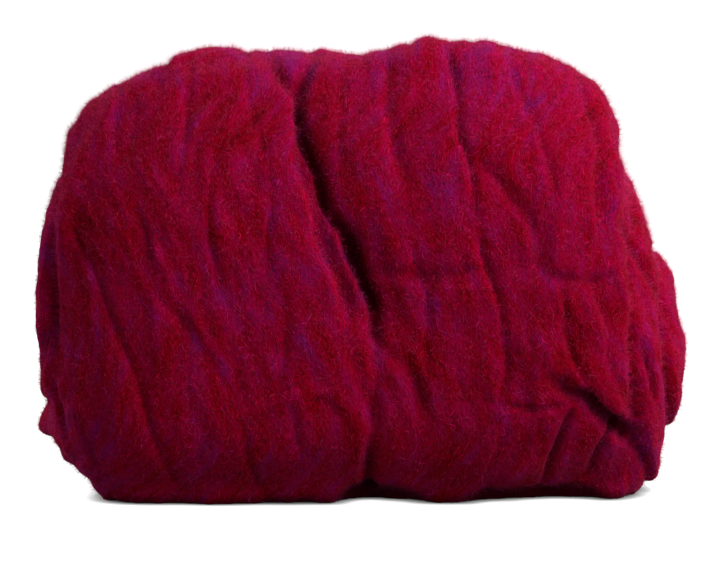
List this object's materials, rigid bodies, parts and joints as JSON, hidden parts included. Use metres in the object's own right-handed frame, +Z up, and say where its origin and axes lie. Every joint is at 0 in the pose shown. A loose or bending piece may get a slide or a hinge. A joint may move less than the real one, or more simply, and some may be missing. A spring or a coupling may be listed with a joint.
{
  "type": "felting fibre bundle",
  "caption": "Soft bundle of carded wool fibre: one thick batt rolled up, with puffy ribs, a deep slanting cleft across its front and wound turns on both ends.",
  "frame": {"origin": "under the middle of the bundle's box, on the surface that it rests on", "axes": "+Z up, +X along the rolled bundle to the right as seen from the front, front facing -Y"},
  "size_m": [0.1968, 0.1044, 0.1364],
  "materials": {
    "crimson_wool": "matte, fuzzy, marled crimson and magenta"
  },
  "bodies": {
    "root": {"fibre_bundle": "crimson_wool"}
  },
  "joints": []
}
